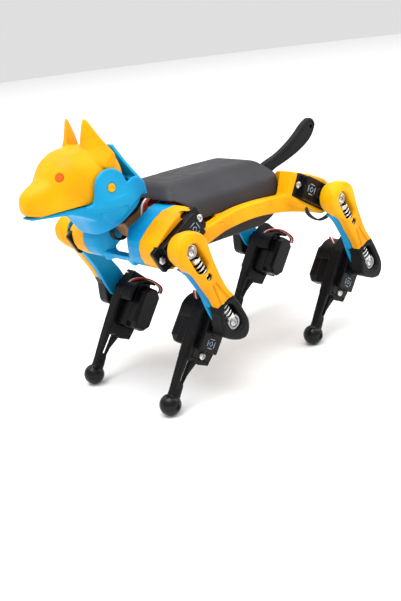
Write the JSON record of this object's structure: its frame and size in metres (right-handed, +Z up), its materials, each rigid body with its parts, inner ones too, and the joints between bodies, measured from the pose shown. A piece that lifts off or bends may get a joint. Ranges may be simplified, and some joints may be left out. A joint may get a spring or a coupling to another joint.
{
  "type": "quadruped robot",
  "caption": "Desktop robot dog: boxy body on servo-driven two-segment legs with spring-loaded knees, panning hinged head, upturned tail, lift-off back cover and slide-on battery.",
  "frame": {"origin": "on the ground, under the middle of the overall bounding box", "axes": "+X forwards, nose to tail is the longest extent; +Y to the dog's left; +Z up"},
  "size_m": [0.1963, 0.103, 0.1442],
  "materials": {
    "blue_shell": "satin 3D print, fine layer lines",
    "yellow_shell": "satin 3D print, fine layer lines",
    "black_print": "matte fine-textured",
    "servo_case": "semi-gloss moulded",
    "screw": "pan heads with a dark recess",
    "spring": "bright wire",
    "washer": "light grey",
    "foot_ball": "glossy black",
    "board": "circuit board",
    "horn": "orange brown gloss",
    "wire": "red, white and brown insulation",
    "battery_case": "matte",
    "button": "soft matte"
  },
  "bodies": {
    "chassis": {"chest_frame": "blue_shell", "shoulder_shells": "yellow_shell", "body_frame": "yellow_shell", "hip_servos": "servo_case", "body_screws": "screw", "main_board": "board", "tail": "black_print", "neck_horn": "horn", "servo_leads": "wire"},
    "cover": {"back_cover": "black_print"},
    "battery_pack": {"battery": "battery_case"},
    "power_button": {"battery_button": "button"},
    "head": {"jaw": "blue_shell", "neck_servo": "servo_case"},
    "upper_head": {"skull": "yellow_shell", "head_pins": "yellow_shell"},
    "thigh_front_left": {"thigh_outer_front_left": "yellow_shell", "thigh_inner_front_left": "blue_shell", "knee_end_front_left": "black_print", "hip_screw_front_left": "screw", "thigh_spring_front_left": "spring"},
    "slider_front_left": {"knee_slider_front_left": "washer", "knee_screw_front_left": "screw"},
    "shank_front_left": {"shank_front_left": "black_print", "knee_servo_front_left": "servo_case", "shank_screws_front_left": "screw", "foot_front_left": "foot_ball"},
    "thigh_front_right": {"thigh_outer_front_right": "yellow_shell", "thigh_inner_front_right": "blue_shell", "knee_end_front_right": "black_print", "hip_screw_front_right": "screw", "thigh_spring_front_right": "spring"},
    "slider_front_right": {"knee_slider_front_right": "washer", "knee_screw_front_right": "screw"},
    "shank_front_right": {"shank_front_right": "black_print", "knee_servo_front_right": "servo_case", "shank_screws_front_right": "screw", "foot_front_right": "foot_ball"},
    "thigh_rear_left": {"thigh_outer_rear_left": "yellow_shell", "thigh_inner_rear_left": "blue_shell", "knee_end_rear_left": "black_print", "hip_screw_rear_left": "screw", "thigh_spring_rear_left": "spring"},
    "slider_rear_left": {"knee_slider_rear_left": "washer", "knee_screw_rear_left": "screw"},
    "shank_rear_left": {"shank_rear_left": "black_print", "knee_servo_rear_left": "servo_case", "shank_screws_rear_left": "screw", "foot_rear_left": "foot_ball"},
    "thigh_rear_right": {"thigh_outer_rear_right": "yellow_shell", "thigh_inner_rear_right": "blue_shell", "knee_end_rear_right": "black_print", "hip_screw_rear_right": "screw", "thigh_spring_rear_right": "spring"},
    "slider_rear_right": {"knee_slider_rear_right": "washer", "knee_screw_rear_right": "screw"},
    "shank_rear_right": {"shank_rear_right": "black_print", "knee_servo_rear_right": "servo_case", "shank_screws_rear_right": "screw", "foot_rear_right": "foot_ball"}
  },
  "joints": [
    {"name": "neck_pan", "type": "hinge", "parent": "chassis", "child": "head", "pos_m": [0.03854, 0, 0.089], "axis": [0.5, 0, 0.866], "range_deg": [-60, 60]},
    {"name": "mouth", "type": "hinge", "parent": "head", "child": "upper_head", "pos_m": [0.062, 0, 0.113], "axis": [0, -1, 0], "range_deg": [0, 8]},
    {"name": "cover_lift", "type": "slide", "parent": "chassis", "child": "cover", "axis": [0, 0, 1], "range_m": [0, 0.03]},
    {"name": "battery_slide", "type": "slide", "parent": "chassis", "child": "battery_pack", "axis": [1, 0, 0], "range_m": [-0.008, 0.002]},
    {"name": "button_press", "type": "slide", "parent": "battery_pack", "child": "power_button", "axis": [0, 0, 1], "range_m": [0, 0.001], "stiffness_N_per_m": 600, "springref_m": -0.004},
    {"name": "hip_front_left", "type": "hinge", "parent": "chassis", "child": "thigh_front_left", "pos_m": [0.0452, 0.046, 0.0821], "axis": [0, -1, 0], "range_deg": [-30, 60]},
    {"name": "knee_spring_front_left", "type": "slide", "parent": "thigh_front_left", "child": "slider_front_left", "axis": [0.4509, 0, 0.8926], "range_m": [0, 0.0025], "stiffness_N_per_m": 600, "springref_m": -0.004, "deforming": ["thigh_spring_front_left"]},
    {"name": "knee_front_left", "type": "hinge", "parent": "slider_front_left", "child": "shank_front_left", "pos_m": [0.0245, 0.042, 0.04113], "axis": [0, -1, 0], "range_deg": [-50, 75]},
    {"name": "hip_front_right", "type": "hinge", "parent": "chassis", "child": "thigh_front_right", "pos_m": [0.0452, -0.046, 0.0821], "axis": [0, -1, 0], "range_deg": [-30, 60]},
    {"name": "knee_spring_front_right", "type": "slide", "parent": "thigh_front_right", "child": "slider_front_right", "axis": [0.4509, 0, 0.8926], "range_m": [0, 0.0025], "stiffness_N_per_m": 600, "springref_m": -0.004, "deforming": ["thigh_spring_front_right"]},
    {"name": "knee_front_right", "type": "hinge", "parent": "slider_front_right", "child": "shank_front_right", "pos_m": [0.0245, -0.042, 0.04113], "axis": [0, -1, 0], "range_deg": [-50, 75]},
    {"name": "hip_rear_left", "type": "hinge", "parent": "chassis", "child": "thigh_rear_left", "pos_m": [-0.0598, 0.046, 0.0821], "axis": [0, -1, 0], "range_deg": [-60, 35]},
    {"name": "knee_spring_rear_left", "type": "slide", "parent": "thigh_rear_left", "child": "slider_rear_left", "axis": [0.4509, 0, 0.8926], "range_m": [0, 0.0025], "stiffness_N_per_m": 600, "springref_m": -0.004, "deforming": ["thigh_spring_rear_left"]},
    {"name": "knee_rear_left", "type": "hinge", "parent": "slider_rear_left", "child": "shank_rear_left", "pos_m": [-0.08049, 0.042, 0.04113], "axis": [0, -1, 0], "range_deg": [-50, 60]},
    {"name": "hip_rear_right", "type": "hinge", "parent": "chassis", "child": "thigh_rear_right", "pos_m": [-0.0598, -0.046, 0.0821], "axis": [0, -1, 0], "range_deg": [-60, 35]},
    {"name": "knee_spring_rear_right", "type": "slide", "parent": "thigh_rear_right", "child": "slider_rear_right", "axis": [0.4509, 0, 0.8926], "range_m": [0, 0.0025], "stiffness_N_per_m": 600, "springref_m": -0.004, "deforming": ["thigh_spring_rear_right"]},
    {"name": "knee_rear_right", "type": "hinge", "parent": "slider_rear_right", "child": "shank_rear_right", "pos_m": [-0.08049, -0.042, 0.04113], "axis": [0, -1, 0], "range_deg": [-50, 60]}
  ]
}
